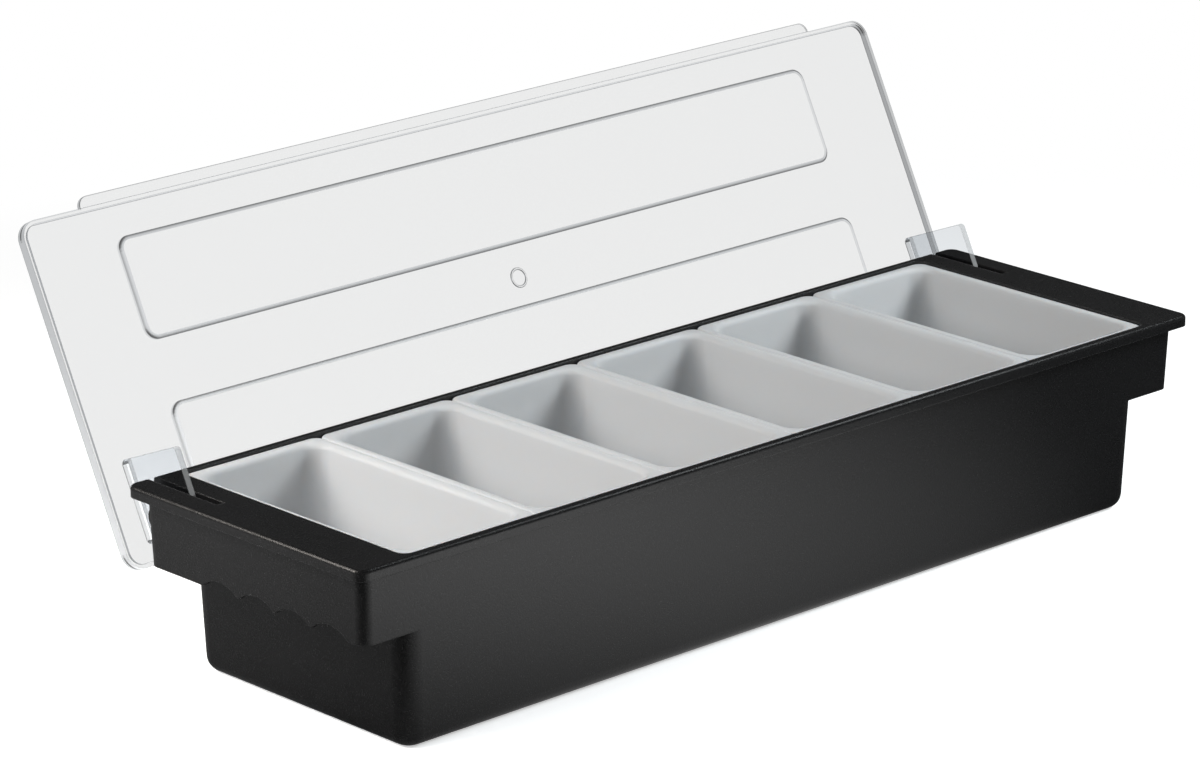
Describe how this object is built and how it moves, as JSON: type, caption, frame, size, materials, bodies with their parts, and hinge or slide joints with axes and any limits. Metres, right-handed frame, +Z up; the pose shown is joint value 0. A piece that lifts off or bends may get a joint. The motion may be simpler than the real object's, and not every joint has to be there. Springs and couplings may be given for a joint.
{
  "type": "bar garnish tray",
  "caption": "Long black garnish tray with a finger grip at each end, white lift-out inserts side by side in its rim and a clear lid hinged at the back, shown open.",
  "frame": {"origin": "centre of the base's flat underside, level with the surface the tray stands on", "axes": "+X along the tray to the right seen from the front, -Y towards the user, +Y towards the lid's hinge, +Z up"},
  "size_m": [0.501, 0.2169, 0.1896],
  "materials": {
    "black_plastic": "satin, moulded",
    "white_plastic": "smooth, faintly translucent",
    "clear_plastic": "clear, polished"
  },
  "bodies": {
    "base": {"base": "black_plastic"},
    "insert_1": {"insert_1": "white_plastic"},
    "insert_2": {"insert_2": "white_plastic"},
    "insert_3": {"insert_3": "white_plastic"},
    "insert_4": {"insert_4": "white_plastic"},
    "insert_5": {"insert_5": "white_plastic"},
    "insert_6": {"insert_6": "white_plastic"},
    "lid": {"lid": "clear_plastic"}
  },
  "joints": [
    {"name": "lid_hinge", "type": "hinge", "parent": "base", "child": "lid", "pos_m": [0, 0.0624, 0.0732], "axis": [-1, 0, 0], "range_deg": [-117.2, 0]},
    {"name": "insert_1_lift", "type": "slide", "parent": "base", "child": "insert_1", "axis": [0, 0, 1], "range_m": [0, 0.085]},
    {"name": "insert_2_lift", "type": "slide", "parent": "base", "child": "insert_2", "axis": [0, 0, 1], "range_m": [0, 0.085]},
    {"name": "insert_3_lift", "type": "slide", "parent": "base", "child": "insert_3", "axis": [0, 0, 1], "range_m": [0, 0.085]},
    {"name": "insert_4_lift", "type": "slide", "parent": "base", "child": "insert_4", "axis": [0, 0, 1], "range_m": [0, 0.085]},
    {"name": "insert_5_lift", "type": "slide", "parent": "base", "child": "insert_5", "axis": [0, 0, 1], "range_m": [0, 0.085]},
    {"name": "insert_6_lift", "type": "slide", "parent": "base", "child": "insert_6", "axis": [0, 0, 1], "range_m": [0, 0.085]}
  ]
}
